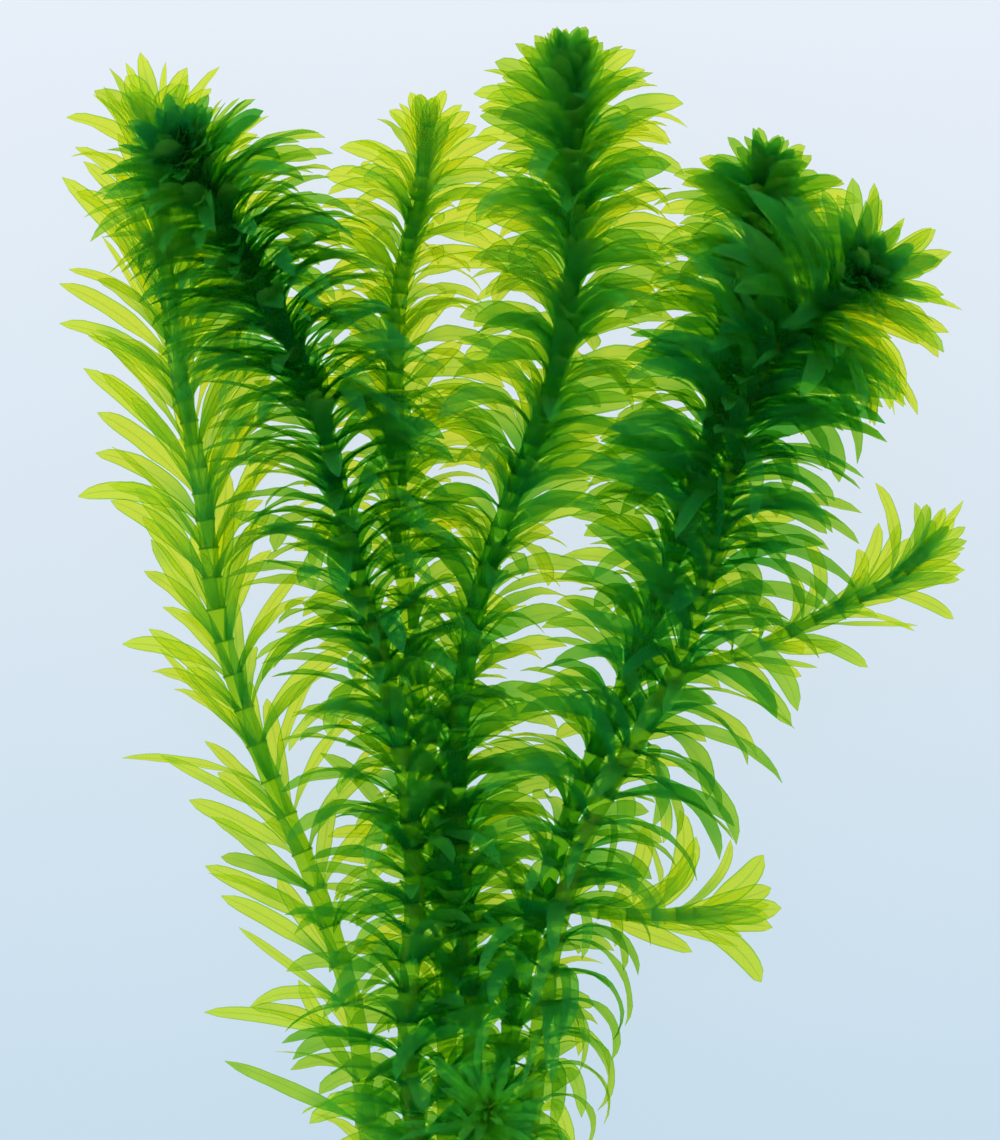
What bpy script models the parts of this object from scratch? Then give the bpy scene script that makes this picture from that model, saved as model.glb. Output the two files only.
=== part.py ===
"""Brazilian waterweed: a cut bunch of long leafy stems, lying on a surface.

Six long stems and three side shoots leave each other low down at a short crown.
Each stem carries whorls of arching, pointed leaves, fused to it, and ends in a tight head.
The bunch lies in the XY plane: +Y runs from the cut foot to the heads, +Z is up.
The origin is on the surface, under the middle of the bunch. Sizes below are in millimetres.
"""
import math
import random
from dataclasses import dataclass

import bmesh
import bpy
from mathutils import Vector
from mathutils.bvhtree import BVHTree

MM = 0.001
UP = Vector((0, 0, 1))
FOOT_WAY = Vector((0, 1, 0))

# Driving dimensions
GAP = 0.3
STEM_RADIUS = 1.75
TIP_RADIUS = 1.1
STEM_SIDES = 5
LEAF_LENGTH = 20.0
LEAF_WIDTH = 4.4
LEAF_THICKNESS = 0.5
BUD_LENGTH = 2.5
HEAD_LENGTH = 9.0
OLD_LENGTH = 60.0
WHORL_HEIGHT = 1.2
WHORL_GAP_TIP = 3.8
WHORL_GAP_FOOT = 13.0
WHORL_GAP_GROWTH = 0.1
WIDEST_AT = 0.5
SURFACE_CLEARANCE = 0.3
STEM_TAPER = 3
SHARP_ANGLE = 35
SATIN = 0.45

# How a leaf leans from the stem, in degrees, at its seat and at its point
BUD_LEAN = (12, 42)
BODY_LEAN = (36, 112)
OLD_LEAN = (52, 126)

# How far a blade's width turns from lying round the stem to lying flat, facing up
FACE_TURN = 0.75

# What a crowded leaf tries, in turn: share of its length, turn about the stem, change of its lean
FITS = [(1.0, 0, 0), (0.92, 9, 0), (0.92, -9, 0), (0.85, 0, -14), (0.85, 0, 14), (0.75, 16, -8),
        (0.75, -16, -8), (0.62, 0, -20), (0.62, 12, 12), (0.5, -12, 0), (0.42, 0, -10)]

# The crown: its rings from the cut foot up, as place along Y, half width and half height
CROWN_CENTRE = (-8.9, 16.0)
CROWN_TOP = -105.7
CROWN_RINGS = [(-113.6, 3.2, 3.0), (-111.6, 4.4, 4.0), (-109.4, 6.6, 6.0), (-107.2, 8.2, 7.6),
               (CROWN_TOP, 7.8, 7.4)]
CROWN_SIDES = 12

LEAF_GREEN = (0.19, 0.42, 0.03, 1)
DEEP_GREEN = (0.05, 0.22, 0.02, 1)
YELLOW_GREEN = (0.42, 0.56, 0.04, 1)
CROWN_GREEN = (0.24, 0.34, 0.06, 1)


@dataclass
class Stem:
    """One leafy stem: its centre line from the foot to the tip, and how it is leafed."""
    name: str
    route: list
    colour: tuple
    leaf: float = LEAF_LENGTH
    width: float = LEAF_WIDTH
    radius: float = STEM_RADIUS
    head: float = HEAD_LENGTH
    bare: float = 12.0
    foot_leaf: float = 0.72
    bud_lean: tuple = BUD_LEAN
    lean: tuple = BODY_LEAN
    old_lean: tuple = OLD_LEAN
    gap_tip: float = WHORL_GAP_TIP
    gap_foot: float = WHORL_GAP_FOOT
    from_crown: bool = True
    up: Vector = UP
    turn: float = 0.0


STEMS = [
    Stem("left_front_stem", [
        (-12.6, -105.4, 20.0), (-13.0, -101.5, 21.0), (-14.6, -94.5, 24.0), (-15.9, -83.7, 27.0),
        (-17.2, -71.1, 29.0), (-16.8, -56.7, 30.0), (-15.9, -42.8, 31.0), (-16.6, -29.7, 32.0),
        (-17.9, -18.9, 32.5), (-19.9, -9.0, 33.0), (-22.2, 0.9, 33.0), (-25.5, 11.7, 33.0),
        (-28.0, 22.5, 33.0), (-30.1, 33.3, 33.5), (-32.7, 43.2, 34.0), (-36.1, 52.2, 34.5),
        (-40.6, 61.2, 35.0), (-45.6, 70.2, 35.5), (-50.7, 79.2, 36.5), (-55.3, 87.0, 40.0),
        (-57.3, 90.5, 46.0)], DEEP_GREEN, bud_lean=(24, 60), lean=(48, 112), turn=10),
    Stem("right_front_stem", [
        (-4.4, -105.4, 19.6), (-3.8, -101.8, 20.6), (1.0, -95.6, 24.0), (4.4, -85.5, 27.0),
        (6.0, -72.9, 29.0), (7.5, -59.4, 30.5), (10.5, -45.0, 32.0), (14.5, -32.4, 33.0),
        (19.5, -22.5, 33.5), (25.6, -12.1, 34.0), (30.9, -2.7, 34.0), (34.5, 7.2, 34.0),
        (37.2, 17.1, 34.0), (39.5, 27.9, 34.5), (41.7, 38.7, 35.0), (44.7, 47.7, 35.5),
        (50.0, 55.6, 36.0), (56.4, 61.6, 37.0), (61.8, 66.2, 40.0), (64.4, 68.4, 45.0)],
         DEEP_GREEN, leaf=23.0, head=5.0, bud_lean=(30, 66), lean=(42, 108),
         old_lean=(60, 148), turn=24),
    Stem("centre_stem", [
        (-8.5, -105.4, 21.3), (-8.3, -101.8, 21.6), (-6.4, -91.5, 23.4), (-5.3, -76.5, 25.0),
        (-6.0, -58.5, 26.0), (-7.5, -40.5, 26.5), (-8.5, -24.3, 26.5), (-7.5, -8.1, 26.0),
        (-5.3, 6.3, 25.5), (-2.4, 17.1, 25.0), (0.3, 25.2, 25.0), (3.3, 33.3, 25.0),
        (6.6, 42.3, 25.0), (9.4, 51.3, 25.0), (11.4, 61.2, 25.0), (12.7, 72.9, 25.0),
        (12.9, 83.7, 25.0), (12.3, 94.5, 25.5), (11.8, 105.3, 27.0)], LEAF_GREEN, turn=5),
    Stem("far_left_stem", [
        (-13.4, -105.4, 14.5), (-14.2, -102.2, 14.5), (-18.9, -97.6, 14.6), (-22.9, -92.0, 15.0),
        (-24.9, -84.6, 15.5), (-26.2, -69.3, 15.5), (-28.5, -59.4, 15.0), (-32.7, -45.9, 14.5),
        (-38.4, -31.5, 14.0), (-43.5, -19.8, 13.5), (-48.3, -6.3, 13.5), (-52.1, 8.1, 13.5),
        (-53.7, 20.7, 13.5), (-55.7, 35.1, 14.0), (-58.2, 47.7, 14.0), (-60.2, 58.5, 14.0),
        (-61.5, 72.9, 15.0), (-62.2, 85.5, 16.0), (-62.5, 94.9, 18.0)], YELLOW_GREEN,
         leaf=23.0, lean=(32, 96), turn=18),
    Stem("left_back_stem", [
        (-9.6, -105.4, 11.5), (-9.8, -101.6, 11.7), (-10.3, -89.1, 12.2), (-10.3, -72.9, 13.0),
        (-10.7, -54.9, 13.5), (-11.8, -36.9, 13.5), (-13.6, -18.9, 13.5), (-15.8, -2.7, 13.5),
        (-17.7, 11.7, 13.5), (-19.0, 25.2, 13.5), (-19.5, 38.7, 13.5), (-19.7, 51.3, 13.5),
        (-19.2, 62.1, 13.5), (-17.9, 72.0, 14.0), (-15.9, 81.0, 14.5), (-14.5, 89.1, 15.5),
        (-13.9, 96.3, 17.0)], LEAF_GREEN, leaf=19.0, turn=30),
    Stem("right_back_stem", [
        (-5.2, -105.4, 13.6), (-4.8, -101.6, 13.6), (-2.6, -94.0, 13.6), (-0.6, -81.9, 14.0),
        (1.5, -67.5, 14.0), (5.1, -51.3, 14.0), (9.4, -36.9, 13.5), (14.8, -22.5, 13.5),
        (21.0, -8.1, 13.5), (26.7, 6.3, 13.5), (31.8, 20.7, 13.5), (36.1, 35.1, 13.5),
        (39.7, 48.6, 13.5), (42.9, 61.2, 14.0), (45.4, 72.0, 14.5), (46.9, 81.0, 16.0),
        (47.4, 86.9, 18.0)], LEAF_GREEN, leaf=18.5, turn=42),
    Stem("right_side_shoot", [
        (34.4, -1.4, 33.0), (38.0, -1.0, 31.0), (43.1, 0.5, 29.5), (49.4, 3.2, 28.5),
        (56.4, 6.8, 27.5), (63.3, 10.1, 27.0), (69.2, 13.1, 27.0), (73.5, 16.7, 27.5),
        (75.7, 19.1, 28.0)], LEAF_GREEN, leaf=14.0, width=2.8, radius=1.2, head=10.0,
         bare=5.0, foot_leaf=0.8, lean=(30, 84), old_lean=(40, 110), gap_foot=7.0,
         from_crown=False, turn=12),
    Stem("lower_side_shoot", [
        (10.1, -45.2, 14.0), (15.0, -46.6, 13.2), (21.0, -47.3, 12.6), (27.0, -47.4, 12.6),
        (35.5, -47.2, 13.2)], YELLOW_GREEN, leaf=20.0, width=3.8, radius=1.2, head=4.0,
         bare=5.0, foot_leaf=0.9, bud_lean=(6, 30), lean=(22, 60), gap_foot=6.0,
         old_lean=(26, 70), from_crown=False, turn=36),
    Stem("base_shoot", [
        (-5.9, -90.5, 25.9), (-4.6, -87.0, 29.0), (-3.4, -82.8, 34.5), (-2.6, -79.4, 40.0)],
         LEAF_GREEN, leaf=11.0, width=1.5, radius=0.9, head=8.0, bare=4.0, foot_leaf=0.9,
         lean=(40, 84), gap_tip=2.6, gap_foot=4.0, from_crown=False,
         up=Vector((0, -1, 0)), turn=0),
]

BUD_LEAF = 0.5
BUD_WIDTH = 0.7
LENGTH_SPREAD = 0.07
TURN_SPREAD = 5.0
LEAN_SPREAD = 6.0
CURVE_STEPS = 10


def clear_scene():
    for item in list(bpy.data.objects):
        bpy.data.objects.remove(item, do_unlink=True)


def make_material(name, colour):
    material = bpy.data.materials.new(name)
    material.use_nodes = True
    shader = material.node_tree.nodes["Principled BSDF"]
    shader.inputs["Base Color"].default_value = colour
    shader.inputs["Roughness"].default_value = SATIN
    shader.inputs["Metallic"].default_value = 0.0
    return material


def smooth_curve(points):
    """Close points on a smooth curve through the route's own points."""
    knots = [Vector(point) for point in points]
    ends = [2 * knots[0] - knots[1]] + knots + [2 * knots[-1] - knots[-2]]
    curve = []
    for before, start, end, after in zip(ends, ends[1:], ends[2:], ends[3:]):
        for step in range(CURVE_STEPS):
            u = step / CURVE_STEPS
            curve.append(0.5 * (2 * start + (end - before) * u
                                + (2 * before - 5 * start + 4 * end - after) * u ** 2
                                + (3 * start - before - 3 * end + after) * u ** 3))
    curve.append(knots[-1])
    return curve


def curve_length(curve):
    return sum((b - a).length for a, b in zip(curve, curve[1:]))


def at_distance(curve, distance):
    """The place and the direction at a distance along a curve."""
    for a, b in zip(curve, curve[1:]):
        step = (b - a).length
        if distance <= step:
            return a.lerp(b, max(distance, 0) / step), (b - a).normalized()
        distance -= step
    return curve[-1].copy(), (curve[-1] - curve[-2]).normalized()


def ease(value):
    """A smooth step from 0 to 1."""
    value = min(max(value, 0.0), 1.0)
    return value * value * (3 - 2 * value)


def whorl_places(stem, length):
    """Distances along the stem of its whorls: close at the head, further apart at the foot."""
    places = []
    from_tip = BUD_LENGTH
    while length - from_tip > stem.bare:
        places.append(length - from_tip)
        from_tip += min(stem.gap_tip + WHORL_GAP_GROWTH * from_tip, stem.gap_foot)
    return places[::-1]


def ring(place, along, up, radius, turn):
    """Corners of one cross-section of a stem."""
    over = (up - up.dot(along) * along).normalized()
    side = along.cross(over)
    corners = []
    for index in range(STEM_SIDES):
        angle = turn + math.tau * index / STEM_SIDES
        corners.append(place + radius * (math.cos(angle) * over + math.sin(angle) * side))
    return corners


def extrude_to(bm, face, corners):
    """Extrude a face so that its corners land on the given places."""
    new = bmesh.ops.extrude_discrete_faces(bm, faces=[face])["faces"][0]
    for vert, corner in zip(new.verts, corners):
        vert.co = corner
    return new


def walls_of(cap):
    """The side walls that the last extrusion left round a cap."""
    return [face for edge in cap.edges for face in edge.link_faces if face is not cap]


def grow_stem(stem):
    """The bare stem, and the seats of its leaves: one wall of each whorl's band for each leaf."""
    curve = smooth_curve(stem.route)
    length = curve_length(curve)
    bm = bmesh.new()
    place, along = at_distance(curve, 0)
    if stem.from_crown:
        along = FOOT_WAY
    turn = math.radians(stem.turn)
    foot = [bm.verts.new(corner) for corner in ring(place, along, stem.up, stem.radius, turn)]
    cap = bm.faces.new(foot)
    seats = []
    half = WHORL_HEIGHT / 2
    tip_radius = min(TIP_RADIUS, stem.radius)
    for distance in whorl_places(stem, length):
        share = distance / length
        radius = stem.radius + (tip_radius - stem.radius) * share ** STEM_TAPER
        turn += math.pi / STEM_SIDES
        for offset in (-half, half):
            place, along = at_distance(curve, distance + offset)
            cap = extrude_to(bm, cap, ring(place, along, stem.up, radius, turn))
        from_tip = length - distance
        seats += [(wall, distance, from_tip, along) for wall in walls_of(cap)]
    tip = extrude_to(bm, cap, [vert.co for vert in cap.verts])
    bmesh.ops.pointmerge(bm, verts=tip.verts[:], merge_co=at_distance(curve, length)[0])
    bm.faces.new(foot[::-1])
    return bm, seats


def leaf_frame(wall, along):
    """Middle of a seat, and the ways out of the stem and across the blade."""
    middle = wall.calc_center_median()
    out = wall.normal - wall.normal.dot(along) * along
    out.normalize()
    return middle, out, along.cross(out)


def lean_point(middle, out, along, length, lean, u):
    """The place and the direction at share u of an arching blade."""
    start = math.radians(lean[0])
    swing = math.radians(lean[1] - lean[0])
    angle = start + swing * u
    reach = length * (math.cos(start) - math.cos(angle)) / swing
    rise = length * (math.sin(angle) - math.sin(start)) / swing
    place = middle + reach * out + rise * along
    return place, math.sin(angle) * out + math.cos(angle) * along


def faced_up(across, direction):
    """The way across a blade, turned about its direction so that the blade faces up more."""
    flat = UP.cross(direction)
    if flat.dot(across) < 0:
        flat = -flat
    mixed = across.lerp(flat, FACE_TURN * flat.length)
    return (mixed - mixed.dot(direction) * direction).normalized()


def keep_above_surface(point, clearance):
    return Vector((point.x, point.y, max(point.z, clearance)))


def blade_corners(wall, along, length, width, lean, turn, swell):
    """Corners of a blade's widest section, in the order of its seat's corners, and its point."""
    middle, out, side = leaf_frame(wall, along)
    angle = math.radians(turn)
    out = math.cos(angle) * out + math.sin(angle) * side
    centre, direction = lean_point(middle, out, along, length, lean, WIDEST_AT)
    across = faced_up(along.cross(out), direction)
    upper = direction.cross(across)
    half = width / 2 + swell
    thick = LEAF_THICKNESS / 2 + swell
    centre = keep_above_surface(centre, SURFACE_CLEARANCE + LEAF_THICKNESS)
    corners = []
    for vert in wall.verts:
        offset = vert.co - middle
        sideways = math.copysign(half, offset.dot(side))
        above = math.copysign(thick, offset.dot(along))
        corners.append(keep_above_surface(centre + sideways * across + above * upper, 0.0))
    point, _ = lean_point(middle, out, along, length + swell, lean, 1.0)
    return corners, keep_above_surface(point, 0.0)


def first_diagonal_stands_out(a, b, c, d):
    """Whether a twisted wall bulges outwards when it is split from its first corner."""
    return (c - a).cross(d - b).dot(a + c - b - d) > 0


def blade_tree(wall, corners, point):
    """A search tree over the faces of a blade that isn't made yet."""
    verts = [vert.co for vert in wall.verts] + corners + [point]
    faces = []
    for index in range(4):
        after = (index + 1) % 4
        quad = (index, after, 4 + after, 4 + index)
        if not first_diagonal_stands_out(*(verts[corner] for corner in quad)):
            quad = quad[1:] + quad[:1]
        faces += [quad[:3], quad[2:] + quad[:1], (4 + index, 4 + after, 8)]
    return BVHTree.FromPolygons(verts, faces)


def split_walls(cap):
    """Split the twisted walls under a cap so that they bulge outwards and never meet inside."""
    for wall in walls_of(cap):
        a, b, c, d = wall.verts
        if first_diagonal_stands_out(a.co, b.co, c.co, d.co):
            bmesh.utils.face_split(wall, a, c)
        else:
            bmesh.utils.face_split(wall, b, d)


def add_leaf(bm, wall, corners, point):
    widest = extrude_to(bm, wall, corners)
    split_walls(widest)
    tip = extrude_to(bm, widest, corners)
    bmesh.ops.pointmerge(bm, verts=tip.verts[:], merge_co=point)


def leaf_lean(stem, distance, from_tip, rng):
    """Leaves stand up round the bud, arch over further down and hook over near the foot."""
    young = 1 - ease(from_tip / stem.head)
    old = 1 - ease(distance / OLD_LENGTH)
    spread = rng.uniform(-LEAN_SPREAD, LEAN_SPREAD)
    lean = []
    for end in (0, 1):
        angle = stem.lean[end] + (stem.old_lean[end] - stem.lean[end]) * old
        angle += (stem.bud_lean[end] - angle) * young
        lean.append(angle + (1 + end) * spread)
    return lean


def leaf_length(stem, distance, from_tip, rng):
    """Leaves are short at the bud, and somewhat shorter again near the foot."""
    young = BUD_LEAF + (1 - BUD_LEAF) * ease(from_tip / stem.head)
    old = stem.foot_leaf + (1 - stem.foot_leaf) * ease(distance / OLD_LENGTH)
    return stem.leaf * young * old * (1 + rng.uniform(-LENGTH_SPREAD, LENGTH_SPREAD))


def dress_stem(stem, bm, seats, neighbours):
    """Grow each leaf from its seat, turned, bent or shortened where a neighbour is in its way."""
    rng = random.Random(stem.name)
    for wall, distance, from_tip, along in seats:
        length = leaf_length(stem, distance, from_tip, rng)
        lean = leaf_lean(stem, distance, from_tip, rng)
        turn = rng.uniform(-TURN_SPREAD, TURN_SPREAD)
        width = stem.width * (BUD_WIDTH + (1 - BUD_WIDTH) * ease(from_tip / stem.head))
        for share, more_turn, more_lean in FITS:
            bent = (lean[0], lean[1] + more_lean)
            shape = (along, length * share, width, bent, turn + more_turn)
            wide_blade = blade_tree(wall, *blade_corners(wall, *shape, GAP))
            if not any(tree.overlap(wide_blade) for tree in neighbours):
                add_leaf(bm, wall, *blade_corners(wall, *shape, 0.0))
                break


def make_crown():
    """The short crown that the long stems leave, cut flat at its foot."""
    bm = bmesh.new()
    loops = []
    for place, half_width, half_height in CROWN_RINGS:
        loop = []
        for index in range(CROWN_SIDES):
            angle = math.tau * index / CROWN_SIDES
            loop.append(bm.verts.new((CROWN_CENTRE[0] + half_width * math.cos(angle), place,
                                      CROWN_CENTRE[1] + half_height * math.sin(angle))))
        loops.append(loop)
    edges = []
    for loop in loops:
        edges.append([bm.edges.new((a, b)) for a, b in zip(loop, loop[1:] + loop[:1])])
    for lower, upper in zip(edges, edges[1:]):
        bmesh.ops.bridge_loops(bm, edges=lower + upper)
    for loop in (loops[0], loops[-1]):
        bm.faces.new(loop)
    bmesh.ops.recalc_face_normals(bm, faces=bm.faces[:])
    return bm


def finish(name, bm, colour, shift):
    """Move a finished solid under the origin's frame and make it an object, in metres."""
    for vert in bm.verts:
        vert.co = (vert.co + shift) * MM
    mesh = bpy.data.meshes.new(name)
    bm.to_mesh(mesh)
    bm.free()
    mesh.shade_smooth()
    mesh.set_sharp_from_angle(angle=math.radians(SHARP_ANGLE))
    mesh.materials.append(make_material(name, colour))
    item = bpy.data.objects.new(name, mesh)
    bpy.context.scene.collection.objects.link(item)


def middle_shift(solids):
    """The move that puts the middle of the bunch over the origin."""
    points = [vert.co for bm in solids for vert in bm.verts]
    shift = Vector((0, 0, 0))
    for axis in (0, 1):
        low = min(point[axis] for point in points)
        high = max(point[axis] for point in points)
        shift[axis] = -(low + high) / 2
    shift.z = -min(point.z for point in points)
    return shift


def main():
    clear_scene()
    solids = {"base_crown": make_crown()}
    seats = {}
    for stem in STEMS:
        solids[stem.name], seats[stem.name] = grow_stem(stem)
    for bm in solids.values():
        bm.normal_update()
    trees = {name: BVHTree.FromBMesh(bm) for name, bm in solids.items()}
    for stem in STEMS:
        neighbours = [tree for name, tree in trees.items() if name != stem.name]
        dress_stem(stem, solids[stem.name], seats[stem.name], neighbours)
        trees[stem.name] = BVHTree.FromBMesh(solids[stem.name])
    colours = {stem.name: stem.colour for stem in STEMS}
    shift = middle_shift(solids.values())
    for name, bm in solids.items():
        finish(name, bm, colours.get(name, CROWN_GREEN), shift)


main()
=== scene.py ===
"""Brazilian waterweed: a cut bunch of leafy stems lying on a pale lit surface, seen from above.

Each stem is a fleshy green tube with a collar at every node, dressed with whorls of thin,
pointed leaves that let the light through. The stems leave a short crown at the foot.
Routes and sizes are in millimetres and degrees, and lie where the solids lie. Mottle and
streaks are counted in repeats to the metre.
"""
import math
import random
from dataclasses import dataclass

import bmesh
import bpy
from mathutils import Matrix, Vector


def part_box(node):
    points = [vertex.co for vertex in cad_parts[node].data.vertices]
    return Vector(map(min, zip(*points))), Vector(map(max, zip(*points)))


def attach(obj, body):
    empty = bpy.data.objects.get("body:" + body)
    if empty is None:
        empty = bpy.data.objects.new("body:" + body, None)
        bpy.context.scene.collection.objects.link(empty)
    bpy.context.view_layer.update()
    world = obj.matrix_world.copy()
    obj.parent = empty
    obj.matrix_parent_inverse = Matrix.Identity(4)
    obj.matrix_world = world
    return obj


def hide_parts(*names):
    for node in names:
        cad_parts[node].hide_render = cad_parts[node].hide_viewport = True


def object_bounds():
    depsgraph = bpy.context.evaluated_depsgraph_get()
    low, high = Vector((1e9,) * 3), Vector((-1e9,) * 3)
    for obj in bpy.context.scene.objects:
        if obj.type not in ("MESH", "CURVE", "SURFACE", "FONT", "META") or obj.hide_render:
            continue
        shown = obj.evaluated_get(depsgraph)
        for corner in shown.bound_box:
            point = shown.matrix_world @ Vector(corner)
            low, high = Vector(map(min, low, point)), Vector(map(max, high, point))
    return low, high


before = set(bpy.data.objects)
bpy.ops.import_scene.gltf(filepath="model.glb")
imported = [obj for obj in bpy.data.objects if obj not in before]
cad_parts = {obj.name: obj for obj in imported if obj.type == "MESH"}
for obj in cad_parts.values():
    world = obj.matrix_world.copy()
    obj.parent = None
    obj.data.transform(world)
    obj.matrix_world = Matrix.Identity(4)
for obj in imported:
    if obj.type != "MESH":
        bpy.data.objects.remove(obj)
solid_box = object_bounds()

MM = 0.001
UP = Vector((0, 0, 1))
HEAD_WAY = Vector((0, 1, 0))

# The picture: what it frames at the height of the bunch, and how far off it is taken
PICTURE_HEIGHT = 205.2
PICTURE_CENTRE = (-0.63, 15.3)
PICTURE_LEVEL = 25.0
PICTURE_DISTANCE = 1200.0
SENSOR = 36.0
CAMERA_REACH = 10000.0

# Stems
STEM_RADIUS = 1.95
TIP_RADIUS = 1.2
STEM_TAPER = 3
STEM_SIDES = 12
END_GIRTH = 0.4
WAIST = 0.9
COLLAR_SWELL = 1.1
CURVE_STEPS = 10

# A collar's rise below its node and its fall above: share of the gap, the most, the swelling
COLLAR_RISE = ((0.2, 0.3, 0.5), (0.45, 0.9, 0.1))
COLLAR_FALL = (0.2, 0.3, 0.4)
LONG_GAP = 4.0

# Leaves
LEAF_LENGTH = 20.0
LEAF_WIDTH = 4.0
LEAF_THICKNESS = 0.22
LEAF_SEGMENTS = 12
HEAD_LENGTH = 15.0
OLD_LENGTH = 60.0
FAN_LENGTH = 12.0
BUD_LENGTH = 0.8
BUD_LEAF = 0.34
BUD_WIDTH = 0.62
BUD_CROWDING = 0.75
LEAVES_IN_WHORL = (5, 6, 6, 7)
LENGTH_SPREAD = 0.14
WIDTH_SPREAD = 0.14
TURN_SPREAD = 22.0
LEAN_SPREAD = 18.0
ROLL_SPREAD = 36.0
BEND_SPREAD = 0.16
FACE_SPREAD = 0.3
TONE_SPREAD = 0.14
NARROW_SHARE = 0.16
NARROW_WIDTH = (0.35, 0.75)
DROOP = (14.0, 55.0)
SEAT_DEPTH = 0.85
LEAST_SWING = 0.1
FAN_REACH = 0.6

# How far a leaf's point may pass the solids' box, and how it is shortened until it doesn't
BOX_SLACK = 0.6
SHRINK = 0.94
SHRINK_TRIES = 12

# A blade's form: half its width from seat to point, and how it thins, cups, ripples and turns
BLADE_OUTLINE = [(0.0, 0.5), (0.12, 0.64), (0.3, 0.88), (0.5, 1.0), (0.68, 0.98), (0.82, 0.84),
                 (0.92, 0.58), (0.98, 0.28), (1.0, 0.04)]
BLADE_THINNING = 0.3
CUP = 0.16
WAVE = 0.05
RIPPLE_RATE = 19.0
RIPPLE_SKEW = 1.3
FACE_RATE = 2.4
FACE_SOFTNESS = 0.3
SHARP_ANGLE = 60.0

# How a leaf leans from the stem, at its seat and at its point
BUD_LEAN = (12, 42)
BODY_LEAN = (36, 112)
OLD_LEAN = (52, 126)

# The crown: its rings from the cut foot up, as place along Y, half width and half height
CROWN_CENTRE = (-8.9, 16.0)
CROWN_RINGS = [(-113.6, 3.2, 3.0), (-111.6, 4.4, 4.0), (-109.4, 6.6, 6.0), (-107.2, 8.2, 7.6),
               (-105.7, 7.8, 7.4)]
CROWN_INSET = 0.5
CROWN_SIDES = 24
CROWN_VOXEL = 0.45
CROWN_SMOOTHING = 0.5
CROWN_SMOOTH_ROUNDS = 5

# The crown's sleeve round each long stem: distance along the stem, and radius
SLEEVE = ((-1.5, 2.0), (1.0, 2.3), (3.0, 2.25), (5.0, 2.0), (7.0, 1.7))
SLEEVE_SIDES = 16

# Colours of the light that comes through a leaf, and of the light that its skin throws back
LEAF_DEEP = (0.33, 0.68, 0.19, 1)
LEAF_CLEAR = (1.0, 0.98, 0.25, 1)
# painted shade: the light through a leaf is darker at its margin
LEAF_MARGIN_SHADE = (0.30, 0.66, 0.12, 1)
LEAF_SKIN_DEEP = (0.003, 0.42, 0.17, 1)
LEAF_SKIN_CLEAR = (0.05, 0.60, 0.19, 1)
# painted highlight: the skin is paler at the margin
LEAF_MARGIN_HIGHLIGHT = (0.10, 0.80, 0.22, 1)
SEE_THROUGH = 0.88
GLOW = 0.4
GLOW_TINT = 0.35
LEAF_SHEEN = 0.25
LEAF_MOTTLE = 90.0
LEAF_BUMP = (0.35, 0.08)

# Ramps over a leaf: where each starts and ends, and what it gives there
MIDRIB = (0.03, 0.13, 1.0, 0.0)
# where the margin's painted shade and painted highlight fall
MARGIN_SHADE_AND_HIGHLIGHT = (0.80, 0.97, 0.0, 1.0)
LEAF_BASE = (0.0, 0.45, 1.0, 0.0)
LEAF_PATCHES = (0.3, 0.7, -0.16, 0.16)
LEAF_ROUGHNESS = (0.3, 0.7, 0.3, 0.48)

# How much a leaf's tone changes at its point and its base, its colour at the midrib, and how much
# painted shade and painted highlight its margin gets
POINT_TONE = 0.32
BASE_TONE = -0.38
MIDRIB_SHARE = 0.22
MARGIN_SHADE_SHARE = 0.45
MARGIN_HIGHLIGHT_SHARE = 0.6

# The stem's flesh
STEM_DEEP = (0.30, 0.80, 0.10, 1)
STEM_CLEAR = (0.84, 1.0, 0.14, 1)
# painted shade: the flesh darkens towards this at each collar, where a whorl's leaves join
STEM_COLLAR_SHADE = (0.20, 0.58, 0.04, 1)
STEM_SKIN = (0.005, 0.22, 0.02, 1)
STEM_SKIN_SHARE = 0.7
STEM_SEE_THROUGH = 0.7
STEM_GLOW = 0.65
STEM_SHEEN = 0.3
STEM_MOTTLE = 60.0
STEM_CELLS = 0.2
STEM_STREAKS = (900.0, 60.0, 900.0)
STEM_BUMP = (0.3, 0.15)
COLLAR_SHADE = (0.5, 1.0, 0.0, 0.85)
STEM_PATCHES = (0.35, 0.7, 0.0, 0.2)
STEM_ROUGHNESS = (0.3, 0.7, 0.28, 0.42)

# The crown's rind: brown over its lowest part, and pale on the cut face
RIND_DEEP = (0.02, 0.10, 0.006, 1)
RIND_CLEAR = (0.09, 0.20, 0.012, 1)
RIND_FOOT = (0.09, 0.075, 0.012, 1)
RIND_FOOT_SHARE = 0.7
RIND_FOOT_HEIGHT = 9.0
RIND_CUT = (0.30, 0.36, 0.10, 1)
RIND_CUT_SHARE = 0.8
RIND_CUT_HEIGHTS = (0.2, 0.6)
RIND_MOTTLE = 260.0
RIND_CELLS = 0.5
RIND_BUMP = (0.6, 0.3)
RIND_PATCHES = (0.35, 0.65, 0.0, 1.0)
RIND_ROUGHNESS = (0.0, 0.6, 0.35, 0.6)
CELLS_IN_PATCH = 9.0

# The floor and the light
FLOOR_SIZE = 4000.0
FLOOR_DROP = 0.4
# The floor's glow, painted dimmer towards the foot: a painted falloff of light
FLOOR_GLOW_TOP = (0.80, 0.86, 0.94, 1)
FLOOR_GLOW_MIDDLE = (0.69, 0.79, 0.88, 1)
FLOOR_GLOW_BOTTOM = (0.57, 0.72, 0.84, 1)
FLOOR_DULL = (0.03, 0.035, 0.04, 1)
FLOOR_GLOW = 0.955
DOME_COLOUR = (0.92, 0.96, 1.0, 1)
DOME_STRENGTH = (0.35, 2.2)
DOME_WAY = (-0.45, 0.35, 0.82)


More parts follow.
